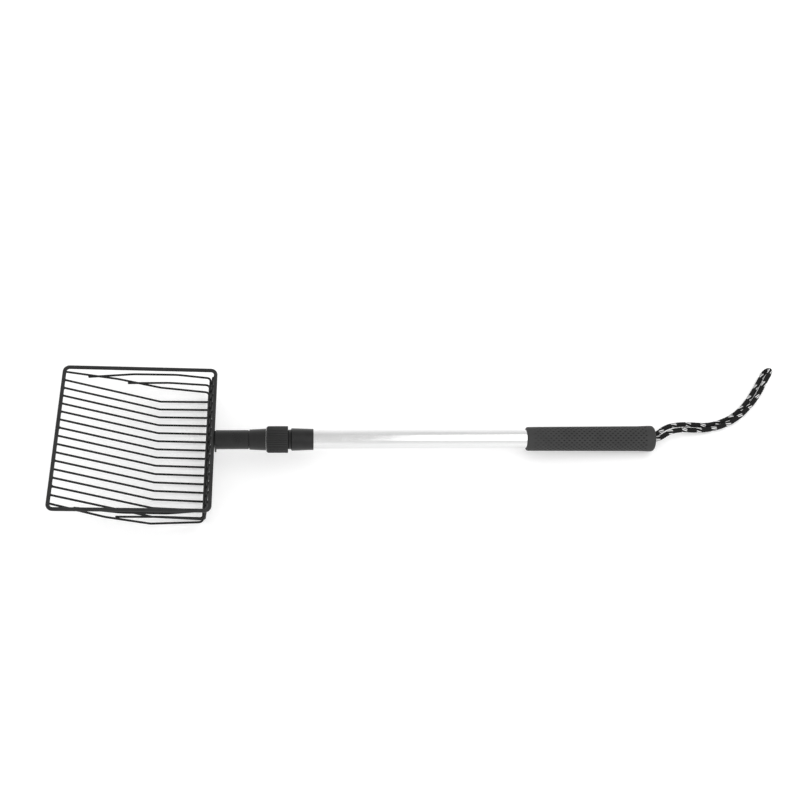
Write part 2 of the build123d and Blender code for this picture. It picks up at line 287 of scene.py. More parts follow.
def plasticMaterial(name):
    look = plastics[name]
    material, tree, shader = newMaterial(name)
    place = objectPlace(tree)
    along = objectPlace(tree, turn=(0, poleAngle, 0), stretch=(plasticFlow["stretch"], 1, 1))
    flow = noiseOf(tree, along, plasticFlow["width"], 3.0, 0.6)   # faint flow lines of the moulding
    grain = noiseOf(tree, place, look["grain"], 2.0)
    cloud = noiseOf(tree, place, plasticFlow["cloud"], 3.0)
    mixed = plus(tree, times(tree, flow, 0.5), times(tree, cloud, 0.5))
    color = blendColor(tree, ramp(tree, mixed, *mixRange, 0, 1),
                       grey(look["dark"]), grey(look["light"]))
    rough = ramp(tree, mixed, *mixRange, *look["rough"])
    setSurface(tree, shader, color, rough, grain, look["bump"], gloss=plasticFlow["gloss"])
    return material


metals = {
    # greys, roughness range, width of the die lines, and whether the bare tube's grit marks show
    "drawnAluminium": dict(dark=0.62, light=0.74, rough=(0.24, 0.36), streak=0.35 * mm,
                           specks=False),
    "poleAluminium": dict(dark=0.70, light=0.80, rough=(0.16, 0.24), streak=0.35 * mm,
                          specks=True),
    "rivetAluminium": dict(dark=0.62, light=0.80, rough=(0.22, 0.34), streak=0.80 * mm,
                           specks=False),
}
metalWear = {
    "stretch": 0.02,
    "band": 4 * mm,
    "cloud": 25 * mm,
    "cloudGloss": 0.03,
    "bump": 0.01 * mm,
    "strength": 0.35,
    "speck": 0.9 * mm,
    "speckEdges": (0.60, 0.66),
    "speckReach": 14 * mm,  # they thin out over this length
    "speckRest": 0.25,
    "speckShown": 0.35,
    "speckGrey": 0.45,
}


def metalMaterial(name, speckStart):
    look, wear = metals[name], metalWear
    material, tree, shader = newMaterial(name)
    shader.inputs["Metallic"].default_value = 1.0
    along = objectPlace(tree, turn=(0, poleAngle, 0), stretch=(wear["stretch"], 1, 1))
    streak = noiseOf(tree, along, look["streak"], 4.0, 0.65)   # die lines from drawing the tube
    band = noiseOf(tree, along, wear["band"], 2.0)
    cloud = noiseOf(tree, objectPlace(tree), wear["cloud"], 3.0, 0.6)
    mixed = plus(tree, times(tree, streak, 0.55), times(tree, band, 0.45))
    color = blendColor(tree, ramp(tree, mixed, *streakRange, 0, 1),
                       grey(look["dark"]), grey(look["light"]))
    if look["specks"]:
        # grit marks on the first centimetres behind the lock
        place = objectPlace(tree, turn=(0, poleAngle, 0))
        alongPole = put(tree, "ShaderNodeSeparateXYZ", Vector=place).outputs["X"]
        speckEnd = speckStart + wear["speckReach"]
        near = ramp(tree, alongPole, speckStart, speckEnd, 1.0, wear["speckRest"])
        speck = noiseOf(tree, objectPlace(tree), wear["speck"], 2.0, 0.8)
        dots = times(tree, ramp(tree, speck, *wear["speckEdges"], 0, 1), near)
        shown = times(tree, dots, wear["speckShown"])
        color = blendColor(tree, shown, color, grey(wear["speckGrey"]))
    rough = plus(tree, ramp(tree, mixed, *streakRange, *look["rough"]),
                 ramp(tree, cloud, *noiseRange, -wear["cloudGloss"], wear["cloudGloss"]))
    setSurface(tree, shader, color, rough, streak, wear["bump"], wear["strength"])
    return material


gripLook = {
    "dark": 0.036,
    "light": 0.048,
    "dimpleShadeStrength": 0.85,     # how strongly the painted shade darkens the bottom of a dimple
    "rough": (0.58, 0.74),
    "grain": 0.28 * mm,
    "bump": 0.04 * mm,
    "cloud": 16 * mm,
    "dimpleShadeGrey": 0.004,        # grey of the painted shade at a dimple's bottom
    "gloss": 0.20,
}


def gripMaterial():
    look = gripLook
    material, tree, shader = newMaterial("gripRubber")
    place = objectPlace(tree)
    cloud = noiseOf(tree, place, look["cloud"], 4.0, 0.6)
    grain = noiseOf(tree, place, look["grain"], 2.0, 0.6)
    base = blendColor(tree, ramp(tree, cloud, *noiseRange, 0, 1),
                      grey(look["dark"]), grey(look["light"]))
    # painted shade: each dimple is darkened by its stored depth, standing in for the shade that
    # falls in it
    depth = put(tree, "ShaderNodeAttribute", {"attribute_name": "dimpleDepth"}).outputs["Fac"]
    color = blendColor(tree, times(tree, depth, look["dimpleShadeStrength"]), base, grey(look["dimpleShadeGrey"]))
    rough = ramp(tree, cloud, *noiseRange, *look["rough"])
    setSurface(tree, shader, color, rough, grain, look["bump"], gloss=look["gloss"])
    return material


# The cord is a sixteen-carrier plait, each carrier over two and under two, with short white tracer
# flecks showing three around at even steps along it.
cordLook = {
    "diameter": 5.9 * mm,
    "pitch": 28.0 * mm,       # one turn of a carrier
    "carriers": 8,            # each way
    "relief": 0.30 * mm,
    "black": 0.012,
    "white": 0.95,
    "fleckStep": 19.6 * mm,
    "fleckLength": 6.6 * mm,
    "fleckPitch": 55.0 * mm,  # the slant of a fleck, as the length of one turn
    "threadWidth": 0.95 * mm,
    "threadGap": 2.15 * mm,   # between the middles of a fleck's two threads
    "flecksAround": 3,
    "fleckShift": 0.7,        # how far flecks move around from one step to the next
    "threadSoft": 0.08,       # soft part of a thread's edge, as a share of its width
    "fray": 1.2 * mm,         # how unevenly a fleck ends
    "fleckEdges": (0.3 * mm, 0.9 * mm),
    "roughness": 0.82,
    "gloss": 0.12,
    "fibreBump": 0.10 * mm,
    "step": 0.42 * mm,        # length of a mesh ring
    "around": 48,
}


def cordMaterial():
    look = cordLook
    material, tree, shader = newMaterial("cordBraid")
    # lay holds the turns of the plait so far, and the share of a turn around
    lay = get(tree, "ShaderNodeUVMap", {"uv_map": "lay"})
    split = put(tree, "ShaderNodeSeparateXYZ", Vector=lay)
    turns, around = split.outputs["X"], split.outputs["Y"]
    steps = times(tree, turns, look["pitch"] / look["fleckStep"])
    number = calc(tree, "FLOOR", steps)
    inStep = calc(tree, "SUBTRACT", calc(tree, "FRACT", steps), 0.5)
    along = times(tree, inStep, look["fleckStep"])
    shift = get(tree, "ShaderNodeTexWhiteNoise", {"noise_dimensions": "1D"}, W=number)
    slant = plus(tree, around, calc(tree, "DIVIDE", along, look["fleckPitch"]))
    place = calc(tree, "MULTIPLY_ADD", slant, float(look["flecksAround"]),
                 times(tree, shift, look["fleckShift"]))
    inShare = calc(tree, "SUBTRACT", calc(tree, "FRACT", plus(tree, place, 9.0)), 0.5)
    across = times(tree, inShare, math.pi * look["diameter"] / look["flecksAround"])
    offGap = calc(tree, "SUBTRACT", calc(tree, "ABSOLUTE", across), look["threadGap"] / 2)
    offMiddle = calc(tree, "ABSOLUTE", offGap)
    onThread = ramp(tree, offMiddle, look["threadWidth"] * (0.5 - look["threadSoft"]),
                    look["threadWidth"] * (0.5 + look["threadSoft"]), 1.0, 0.0)
    nibble = layNoise(tree, lay, 40, 22)
    reach = plus(tree, calc(tree, "ABSOLUTE", along), times(tree, nibble, look["fray"]))
    fleckStart, fleckEnd = (look["fleckLength"] / 2 + edge for edge in look["fleckEdges"])
    onFleck = ramp(tree, reach, fleckStart, fleckEnd, 1.0, 0.0)
    fibre = layNoise(tree, lay, 90, 60)
    # painted shade: the plait's valleys, read from its relief height, are darkened toward near
    # black
    valley = put(tree, "ShaderNodeAttribute", {"attribute_name": "plaitHeight"}).outputs["Fac"]
    black = blendColor(tree, fibre, grey(look["black"] * 0.6), grey(look["black"] * 1.7))
    shaded = blendColor(tree, ramp(tree, valley, 0.1, 0.7, 0.35, 1.0), grey(0.002), black)
    white = blendColor(tree, fibre, grey(look["white"] * 0.8), grey(look["white"]))
    color = blendColor(tree, times(tree, onThread, onFleck), shaded, white)
    setSurface(tree, shader, color, look["roughness"], fibre, look["fibreBump"], 0.6, look["gloss"])
    return material


# mesh helpers
def meshObject(name, points, faces, material):
    mesh = bpy.data.meshes.new(name)
    mesh.from_pydata([tuple(p) for p in points], [], faces)
    mesh.materials.append(material)
    mesh.polygons.foreach_set("use_smooth", [True] * len(mesh.polygons))
    mesh.update()
    piece = bpy.data.objects.new(name, mesh)
    bpy.context.scene.collection.objects.link(piece)
    return piece


def settle(piece, sharpAngle):
    # turns a piece made in the pole's own frame into its place, with its edges marked sharp
    piece.data.transform(poleMatrix)
    piece.data.set_sharp_from_angle(angle=math.radians(sharpAngle))


def turnedRing(outline, around):
    # a closed outline of (x, radius) turned about the pole axis
    points, faces = [], []
    count = len(outline)
    for k in range(around):
        angle = 2 * math.pi * k / around
        for x, r in outline:
            points.append((x, r * math.cos(angle), r * math.sin(angle)))
    for k in range(around):
        here, there = k * count, (k + 1) % around * count
        for m in range(count):
            after = (m + 1) % count
            faces.append((here + m, here + after, there + after, there + m))
    return points, faces


seamGap = 0.002 * mm


def outwards(mesh):
    # closes seams and turns every face outward
    shape = bmesh.new()
    shape.from_mesh(mesh)
    bmesh.ops.remove_doubles(shape, verts=shape.verts, dist=seamGap)
    bmesh.ops.recalc_face_normals(shape, faces=shape.faces)
    shape.to_mesh(mesh)
    shape.free()


cornerShare = 0.45            # of a side's length that a rounded corner may use


def rounded(outline, radius, steps=3):
    # rounds the corners of a closed (x, r) outline, each as far as its sides leave room
    result = []
    count = len(outline)
    for k in range(count):
        before, here, after = (Vector(outline[(k + d) % count]) for d in (-1, 0, 1))
        into, out = before - here, after - here
        reach = min(radius, cornerShare * into.length, cornerShare * out.length)
        start, end = here + into.normalized() * reach, here + out.normalized() * reach
        for s in range(steps + 1):
            t = s / steps
            result.append(tuple(start * (1 - t) ** 2 + here * 2 * t * (1 - t) + end * t * t))
    return result


def turnedPiece(name, outline, material, around=128):
    points, faces = turnedRing(outline, around)
    piece = meshObject(name, points, faces, material)
    outwards(piece.data)
    settle(piece, 40)
    return piece


def finishNodes(piece, material):
    # turns a piece with a live node modifier into a plain mesh
    bpy.context.view_layer.update()
    graph = bpy.context.evaluated_depsgraph_get()
    mesh = bpy.data.meshes.new_from_object(piece.evaluated_get(graph))
    piece.modifiers.clear()
    piece.data = mesh
    mesh.materials.clear()
    mesh.materials.append(material)
    return piece


def nodeTree(name, inputs):
    tree = bpy.data.node_groups.new(name, "GeometryNodeTree")
    tree.interface.new_socket("Geometry", in_out="INPUT", socket_type="NodeSocketGeometry")
    tree.interface.new_socket("Geometry", in_out="OUTPUT", socket_type="NodeSocketGeometry")
    for label, kind in inputs:
        tree.interface.new_socket(label, in_out="INPUT", socket_type="NodeSocket" + kind)
    return tree, tree.nodes.new("NodeGroupInput").outputs, tree.nodes.new("NodeGroupOutput")


def useTree(piece, tree, values):
    modifier = piece.modifiers.new(tree.name, "NODES")
    modifier.node_group = tree
    for item in tree.interface.items_tree:
        if item.in_out == "INPUT" and item.name in values:
            modifier[item.identifier] = values[item.name]


# wrist cord
# the route's points: out of the grip, along the ground to the fold, and back beside that strand
cordPoints = [
    (0.3332, 0.0029, 0.0158), (0.3515, 0.0029, 0.0147), (0.3682, 0.0164, 0.0142),
    (0.3873, 0.0214, 0.0110), (0.4056, 0.0225, 0.0070), (0.4224, 0.0225, 0.0040),
    (0.4386, 0.0266, 0.0030), (0.4553, 0.0340, 0.0030), (0.4688, 0.0445, 0.0030),
    (0.4802, 0.0569, 0.0030), (0.4908, 0.0711, 0.0030), (0.5009, 0.0860, 0.0030),
    (0.5106, 0.1006, 0.0030), (0.5162, 0.0963, 0.0122), (0.5057, 0.0820, 0.0084),
    (0.4962, 0.0669, 0.0042), (0.4846, 0.0525, 0.0034), (0.4717, 0.0397, 0.0046),
    (0.4584, 0.0290, 0.0049), (0.4408, 0.0207, 0.0046), (0.4242, 0.0167, 0.0046),
    (0.4065, 0.0144, 0.0070), (0.3889, 0.0140, 0.0110), (0.3724, 0.0097, 0.0140),
    (0.3538, -0.0029, 0.0145), (0.3332, -0.0029, 0.0158),
]


def splineLine(points, cyclic=False):
    # the smooth line of a NURBS spline with these control points
    curve = bpy.data.curves.new("route", "CURVE")
    curve.dimensions = "3D"
    curve.resolution_u = 16
    spline = curve.splines.new("NURBS")
    spline.points.add(len(points) - 1)
    for point, place in zip(spline.points, points):
        point.co = (*place, 1)
    spline.order_u = 3
    spline.use_cyclic_u = cyclic
    spline.use_endpoint_u = not cyclic
    holder = bpy.data.objects.new("route", curve)
    bpy.context.scene.collection.objects.link(holder)
    bpy.context.view_layer.update()
    graph = bpy.context.evaluated_depsgraph_get()
    line = bpy.data.meshes.new_from_object(holder.evaluated_get(graph))
    path = [v.co.copy() for v in line.vertices]
    bpy.data.objects.remove(holder)
    bpy.data.meshes.remove(line)
    return path


def evenly(path, step, cyclic=False):
    # points at even steps along a line, and its length
    line = path + path[:1] if cyclic else path
    marks = [0.0]
    for a, b in zip(line, line[1:]):
        marks.append(marks[-1] + (b - a).length)
    count = max(8, round(marks[-1] / step))
    result, k = [], 0
    for s in range(count if cyclic else count + 1):
        goal = marks[-1] * s / count
        while k < len(marks) - 2 and marks[k + 1] < goal:
            k += 1
        share = (goal - marks[k]) / max(marks[k + 1] - marks[k], 1e-9)
        result.append(line[k].lerp(line[k + 1], min(1.0, share)))
    return result, marks[-1]


def plaitHeight(turns, around):
    # relief of the plait, 0 to 1: a carrier is rounded across and arches along each float
    n = cordLook["carriers"]
    p, q = n * (around - turns) + 400, n * (around + turns) + 400
    i, j = math.floor(p), math.floor(q)
    order = (i + j) % 4
    across, along = (p - i, q - j) if order < 2 else (q - j, p - i)
    reach = (order % 2 + along) / 2
    side = 1 - (2 * across - 1) ** 2
    return side ** 0.5 * (0.25 + 0.75 * math.sin(math.pi * reach))


def plaitTube(name, path, diameter, material, cyclic=False):
    centres, length = evenly(path, cordLook["step"], cyclic)
    count, around = len(centres), cordLook["around"]
    middle = diameter / 2 - cordLook["relief"] * 0.6
    points, faces, marks, heights = [], [], [], []
    for k, here in enumerate(centres):
        if cyclic:
            ahead = centres[(k + 1) % count] - centres[k - 1]
        else:
            ahead = centres[min(k + 1, count - 1)] - centres[max(k - 1, 0)]
        ahead.normalize()
        side = ahead.cross(Vector((0, 0, 1))).normalized()
        up = side.cross(ahead)
        turns = length * k / (count - (0 if cyclic else 1)) / cordLook["pitch"]
        for m in range(around):
            share = m / around
            angle = 2 * math.pi * share
            heights.append(plaitHeight(turns, share))
            radius = middle + cordLook["relief"] * heights[-1]
            points.append(here + (side * math.cos(angle) + up * math.sin(angle)) * radius)
        marks.append(turns)
    rows = count if cyclic else count - 1
    uvs = []
    for k in range(rows):
        there = (k + 1) % count
        endTurns = marks[there] if there else length / cordLook["pitch"]
        for m in range(around):
            after = (m + 1) % around
            here, ahead = k * around, there * around
            faces.append((here + m, here + after, ahead + after, ahead + m))
            uvs += [(marks[k], m / around), (marks[k], (m + 1) / around),
                    (endTurns, (m + 1) / around), (endTurns, m / around)]
    if not cyclic:
        for k, flip in ((0, True), (count - 1, False)):
            points.append(centres[k])
            heights.append(0.0)
            for m in range(around):
                ring = (k * around + m, k * around + (m + 1) % around)
                faces.append((*(reversed(ring) if flip else ring), len(points) - 1))
                uvs += [(marks[k], m / around)] * 3
    piece = meshObject(name, points, faces, material)
    layer = piece.data.uv_layers.new(name="lay")
    layer.data.foreach_set("uv", [value for uv in uvs for value in uv])
    relief = piece.data.attributes.new("plaitHeight", "FLOAT", "POINT")
    relief.data.foreach_set("value", heights)
    return piece, centres, length


def makeCord(material):
    path = splineLine(cordPoints)
    cord, centres, length = plaitTube("wristCord", path, cordLook["diameter"], material)
    outwards(cord.data)
    print("cord:", round(length * 1000, 1), "mm,", len(cord.data.polygons), "faces")
    return cord, centres, length


knotLook = {"strand": 4.4 * mm, "squash": 0.9, "lobes": 3, "points": 18}


def makeKnot(material):
    # a pulled-tight trefoil inside the end of the tube, in the room that the solid knot holds
    look = knotLook
    start, end, radius = poleSpan("lanyard_knot")
    reach = (radius - look["strand"] / 2) / 3
    depth = ((end - start) - look["strand"]) / 2 * look["squash"]
    loop = []
    for k in range(look["points"]):
        t = 2 * math.pi * k / look["points"]
        x = (start + end) / 2 - math.sin(look["lobes"] * t) * depth
        y = (math.sin(t) + 2 * math.sin(2 * t)) * reach
        z = (math.cos(t) - 2 * math.cos(2 * t)) * reach
        loop.append(tuple(poleMatrix @ Vector((x, y, z))))
    knot, _, _ = plaitTube("cordKnot", splineLine(loop, True), look["strand"], material, True)
    outwards(knot.data)
    return knot


# grip
gripShape = {
    "rows": 32,              # of dimples around
    "columns": 22,
    "pitch": 6.2 * mm,       # along the grip
    "frontPlain": 6.0 * mm,  # smooth length before the first dimple
    "flareLength": 22.0 * mm,
    "flareRise": 0.55 * mm,
    "frontRound": 2.2 * mm,
    "endRound": 4.0 * mm,
    "dimpleLength": 3.5 * mm,
    "dimpleWidth": 1.8 * mm,
    "dimpleDepth": 0.75 * mm,
    "growPitches": 6.0,      # the dimples grow to their full depth over this many pitches
    "firstDepth": 0.3,
    "firstShade": 0.4,
    "dimpleRings": [(1.0, 0.0), (0.86, 0.22), (0.52, 0.80)],   # size and depth of each ring
    "holeRadius": 6.3 * mm,
    "holeFlare": 3.4 * mm,
    "tubeRadius": 11.0 * mm,
    "tubeEnd": 5.5 * mm,     # the tube ends this far inside the grip's end
}


def flatPatch(name, length, width, dimple, material):
    # a patch of the unrolled grip, four edges by four, with or without its dimple; z is height
    quarters = [k / 4 for k in range(4)]
    border = ([(length * t, 0) for t in quarters]
              + [(length, width * t) for t in quarters]
              + [(length * (1 - t), width) for t in quarters]
              + [(0, width * (1 - t)) for t in quarters])
    points = [(x, y, 0) for x, y in border]
    faces = []
    if dimple:
        middle = (length / 2, width / 2)
        for size, deep in gripShape["dimpleRings"]:
            for x, y in border:
                angle = math.atan2((y - middle[1]) / width, (x - middle[0]) / length)
                points.append((middle[0] + math.cos(angle) * gripShape["dimpleLength"] / 2 * size,
                               middle[1] + math.sin(angle) * gripShape["dimpleWidth"] / 2 * size,
                               -deep * gripShape["dimpleDepth"]))
        points.append((*middle, -gripShape["dimpleDepth"]))
        for ring in range(3):
            for k in range(16):
                a, b = ring * 16 + k, ring * 16 + (k + 1) % 16
                faces.append((a, b, b + 16, a + 16))
        faces += [(48 + k, 48 + (k + 1) % 16, 64) for k in range(16)]
    else:
        points.append((length / 2, width / 2, 0))
        faces += [(k, (k + 1) % 16, 16) for k in range(16)]
    return meshObject(name, points, faces, material)


def sheetOf(tree, patch, count, x, y):
    # copies of a flat patch at the places x, y
    place = get(tree, "ShaderNodeCombineXYZ", X=x, Y=y)
    spots = get(tree, "GeometryNodePoints", Count=count, Position=place)
    shape = put(tree, "GeometryNodeObjectInfo", Object=patch).outputs["Geometry"]
    return get(tree, "GeometryNodeInstanceOnPoints", Points=spots, Instance=shape)


def joined(tree, *parts):
    node = put(tree, "GeometryNodeJoinGeometry")
    for part in parts:
        tree.links.new(part, node.inputs[0])
    return node.outputs[0]


def finishTree(tree, geometry, given, out, smooth=True):
    # the last nodes of every tree
    if smooth:
        geometry = get(tree, "GeometryNodeSetShadeSmooth", Geometry=geometry)
    done = get(tree, "GeometryNodeSetMaterial", Geometry=geometry, Material=given["Material"])
    tree.links.new(done, out.inputs[0])
    return tree


def dimpleTree():
    tree, given, out = nodeTree("dimpledSleeve", [
        ("Dimple", "Object"), ("Plain Half", "Object"), ("Rows", "Int"), ("Columns", "Int"),
        ("Start", "Float"), ("Pitch", "Float"), ("Row Width", "Float"), ("Front Radius", "Float"),
        ("Back Radius", "Float"), ("Flare Start", "Float"), ("Flare End", "Float"),
        ("Flare Rise", "Float"), ("Depth", "Float"), ("Material", "Material")])
    index = get(tree, "GeometryNodeInputIndex")
    start, pitch, rowWidth = given["Start"], given["Pitch"], given["Row Width"]
    rows, columns = given["Rows"], given["Columns"]
    row = calc(tree, "FLOOR", calc(tree, "DIVIDE", plus(tree, index, 0.5), columns))
    column = calc(tree, "SUBTRACT", index, times(tree, row, columns))
    odd = calc(tree, "MODULO", row, 2.0)
    x = calc(tree, "MULTIPLY_ADD", calc(tree, "MULTIPLY_ADD", odd, 0.5, column), pitch, start)
    y = times(tree, row, rowWidth)
    dimples = sheetOf(tree, given["Dimple"], times(tree, rows, columns), x, y)
    # a plain half patch fills the start of the odd rows and the end of the even ones
    even = calc(tree, "SUBTRACT", 1.0, calc(tree, "MODULO", index, 2.0))
    gapX = calc(tree, "MULTIPLY_ADD", times(tree, even, columns), pitch, start)
    halves = sheetOf(tree, given["Plain Half"], rows, gapX, times(tree, index, rowWidth))
    sheet = get(tree, "GeometryNodeRealizeInstances", Geometry=joined(tree, dimples, halves))

    # rolls the flat sheet round the pole axis, on the grip's slight taper
    position = get(tree, "GeometryNodeInputPosition")
    place = put(tree, "ShaderNodeSeparateXYZ", Vector=position).outputs
    growEnd = calc(tree, "MULTIPLY_ADD", pitch, gripShape["growPitches"], start)
    # the depth, weaker over the first pitches, is stored so that the grip material paints shade
    # into the dimples
    deep = calc(tree, "DIVIDE", times(tree, place["Z"], -1.0), given["Depth"])
    shadeShare = ramp(tree, place["X"], start, growEnd, gripShape["firstShade"], 1.0)
    withDimpleShade = get(tree, "GeometryNodeStoreNamedAttribute", {"data_type": "FLOAT", "domain": "POINT"},
                 Geometry=sheet, Name="dimpleDepth", Value=times(tree, deep, shadeShare))
    radius = ramp(tree, place["X"], start, given["Flare Start"], given["Front Radius"],
                  given["Back Radius"])
    flare = get(tree, "ShaderNodeMapRange", {"interpolation_type": "SMOOTHSTEP"}, Value=place["X"],
                From_Min=given["Flare Start"], From_Max=given["Flare End"], To_Min=0.0,
                To_Max=given["Flare Rise"])
    depthShare = ramp(tree, place["X"], start, growEnd, gripShape["firstDepth"], 1.0)
    full = plus(tree, plus(tree, radius, flare), times(tree, place["Z"], depthShare))
    angle = calc(tree, "DIVIDE", times(tree, place["Y"], 2 * math.pi), times(tree, rows, rowWidth))
    rolled = get(tree, "ShaderNodeCombineXYZ", X=place["X"],
                 Y=times(tree, full, calc(tree, "COSINE", angle)),
                 Z=times(tree, full, calc(tree, "SINE", angle)))
    tube = get(tree, "GeometryNodeSetPosition", Geometry=withDimpleShade, Position=rolled)
    whole = joined(tree, given["Geometry"], tube)
    real = get(tree, "GeometryNodeRealizeInstances", Geometry=whole)
    welded = get(tree, "GeometryNodeMergeByDistance", Geometry=real, Distance=0.01 * mm)
    return finishTree(tree, welded, given, out)


def makeGrip(material):
    start, end, largest = poleSpan("grip_sleeve")
    shape = gripShape
    segments = shape["rows"] * 4
    # radii of the tapered length, read from the solid's own points
    points = polePoints("grip_sleeve")
    outer = [p for p in points if math.hypot(p.y, p.z) > shape["tubeRadius"] + 1.5 * mm]
    front = max(math.hypot(p.y, p.z) for p in outer if p.x < start + 6 * mm)
    fieldStart = start + shape["frontPlain"]
    fieldEnd = fieldStart + (shape["columns"] + 0.5) * shape["pitch"]
    flareStart = end - shape["flareLength"]
    flareEnd = end - shape["endRound"]
    back = largest - shape["flareRise"]

    def taper(x):
        swell = min(max((x - flareStart) / (flareEnd - flareStart), 0), 1)
        straight = front + (back - front) * min(1, (x - start) / (flareStart - start))
        return straight + shape["flareRise"] * swell * swell * (3 - 2 * swell)

    def arc(centreX, centreR, radius, first, last, steps):
        turns = [math.radians(first + (last - first) * k / steps) for k in range(steps + 1)]
        return [(centreX + radius * math.cos(t), centreR + radius * math.sin(t)) for t in turns]

    frontRound, endRound, holeFlare = shape["frontRound"], shape["endRound"], shape["holeFlare"]
    tubeStop = end - shape["tubeEnd"]
    frontBand = [(tubeStop, shape["tubeRadius"]), (start, shape["tubeRadius"])]
    frontBand += arc(start + frontRound, front - frontRound, frontRound, 180, 90, 4)
    frontBand += [(x, taper(x)) for x in (start + 4 * mm, fieldStart)]
    backBand = [(x, taper(x)) for x in (fieldEnd + (flareEnd - fieldEnd) * k / 4 for k in range(5))]
    backBand += arc(end - endRound, largest - endRound, endRound, 80, 0, 6)
    backBand += arc(end - holeFlare, shape["holeRadius"] + holeFlare, holeFlare, 0, -90, 6)
    backBand += [(tubeStop, shape["holeRadius"]), (tubeStop, shape["tubeRadius"])]
    meshPoints, faces = [], []
    for band in (frontBand, backBand):   # the plain ends; the dimpled length between is a node tree
        base, count = len(meshPoints), len(band)
        for k in range(segments):
            angle = 2 * math.pi * k / segments
            meshPoints += [(x, r * math.cos(angle), r * math.sin(angle)) for x, r in band]
        for k in range(segments):
            here, there = base + k * count, base + (k + 1) % segments * count
            faces += [(here + m, here + m + 1, there + m + 1, there + m) for m in range(count - 1)]
    grip = meshObject("gripSleeve", meshPoints, faces, material)
    rowWidth = 2 * math.pi * front / shape["rows"]
    dimple = flatPatch("dimplePatch", shape["pitch"], rowWidth, True, material)
    half = flatPatch("plainPatch", shape["pitch"] / 2, rowWidth, False, material)
    useTree(grip, dimpleTree(), {
        "Dimple": dimple, "Plain Half": half, "Rows": shape["rows"], "Columns": shape["columns"],
        "Start": fieldStart, "Pitch": shape["pitch"], "Row Width": rowWidth,
        "Front Radius": taper(fieldStart), "Back Radius": taper(flareStart),
        "Flare Start": flareStart, "Flare End": flareEnd, "Flare Rise": shape["flareRise"],
        "Depth": shape["dimpleDepth"], "Material": material})
    finishNodes(grip, material)
    bpy.data.objects.remove(dimple)
    bpy.data.objects.remove(half)
    outwards(grip.data)
    settle(grip, 50)
    print("grip:", shape["rows"] * shape["columns"], "dimples,", len(grip.data.polygons), "faces")
    return grip


# twist lock
nutShape = {
    "ribs": 44,
    "ribHeight": 0.80 * mm,
    "ribWidth": 1.32 * mm,
    "ribFoot": 0.25 * mm,    # how deep a rib sits in the nut
    "ribInset": 0.15 * mm,   # from the nut's front edge
    "ribFall": 0.12 * mm,    # how a rib runs out at its ends
    "ribRise": 0.7 * mm,     # length of the rise behind the chamfer
    "ribProfile": [(-1.0, 0.0), (-0.82, 0.52), (-0.42, 0.90), (0.0, 1.0), (0.42, 0.90),
                   (0.82, 0.52), (1.0, 0.0)],
    "chamfer": 1.7 * mm,
    "endRound": 0.5 * mm,
    "frontBore": 9.75 * mm,
    "wall": 2.0 * mm,
    "coneFront": 10.75 * mm,
    "coneLength": 6.0 * mm,
    "backBore": 11.93 * mm,
    "edgeRound": 0.3 * mm,
    "around": 176,
}


def ribShape(name, start, end, radius, material):
    # one half-round rib along x at the top of the nut, running out on the front chamfer
    shape = nutShape
    low = radius - shape["ribHeight"] - shape["ribFoot"]
    half, chamfer, fall = shape["ribWidth"] / 2, shape["chamfer"], shape["ribFall"]
    crests = [(start + shape["ribInset"], radius - chamfer + shape["ribInset"]),
              (start + chamfer * 0.5, radius - chamfer * 0.5),
              (start + chamfer, radius - fall),
              (start + chamfer + shape["ribRise"], radius),
              (end - shape["endRound"], radius),
              (end - fall, radius - shape["endRound"] * 0.6)]
    points = []
    for x, crest in crests:
        foot = min(low, crest - shape["ribFoot"])
        points += [(x, half * y, foot + (crest - foot) * h) for y, h in shape["ribProfile"]]
    count = len(shape["ribProfile"])
    faces = []
    for s in range(len(crests) - 1):
        here, there = s * count, (s + 1) * count
        for k in range(count):
            after = (k + 1) % count
            faces.append((here + k, here + after, there + after, there + k))
    faces.append(tuple(reversed(range(count))))
    faces.append(tuple(range((len(crests) - 1) * count, len(crests) * count)))
    return meshObject(name, points, faces, material)


def ribTree():
    tree, given, out = nodeTree("nutRibs", [
        ("Rib", "Object"), ("Count", "Int"), ("Material", "Material")])
    spots = get(tree, "GeometryNodePoints", Count=given["Count"])
    index = get(tree, "GeometryNodeInputIndex")
    angle = calc(tree, "DIVIDE", times(tree, index, 2 * math.pi), given["Count"])
    turn = get(tree, "ShaderNodeCombineXYZ", X=angle)
    rib = put(tree, "GeometryNodeObjectInfo", Object=given["Rib"]).outputs["Geometry"]
    ribs = get(tree, "GeometryNodeInstanceOnPoints", Points=spots, Instance=rib, Rotation=turn)
    real = get(tree, "GeometryNodeRealizeInstances", Geometry=ribs)
    return finishTree(tree, real, given, out)


def makeNut(material, grooveShadeMaterial):
    # a turned nut whose core between the ribs is coloured darker as painted shade in the grooves,
    # with its ribs as a second piece on it
    start, end, radius = poleSpan("lock_nut")
    shape = nutShape
    core = radius - shape["ribHeight"]
    wallBack = start + shape["wall"]
    slope = shape["chamfer"] - shape["ribHeight"]
    outline = [(start, shape["frontBore"]), (wallBack, shape["frontBore"]),
               (wallBack, shape["coneFront"]), (wallBack + shape["coneLength"], shape["backBore"]),
               (end, shape["backBore"]), (end, core), (start + slope, core), (start, core - slope)]
    outline = rounded(outline, shape["edgeRound"])
    nut = turnedPiece("lockNut", outline, grooveShadeMaterial, shape["around"])
    rib = ribShape("ribShape", start, end, radius, material)
    ribs = meshObject("nutRibs", [(0, 0, 0)], [], material)
    useTree(ribs, ribTree(), {"Rib": rib, "Count": shape["ribs"], "Material": material})
    finishNodes(ribs, material)
    bpy.data.objects.remove(rib)
    outwards(ribs.data)
    settle(ribs, 45)
    print("lock nut:", shape["ribs"], "ribs,", len(ribs.data.polygons), "faces")
    return nut, ribs


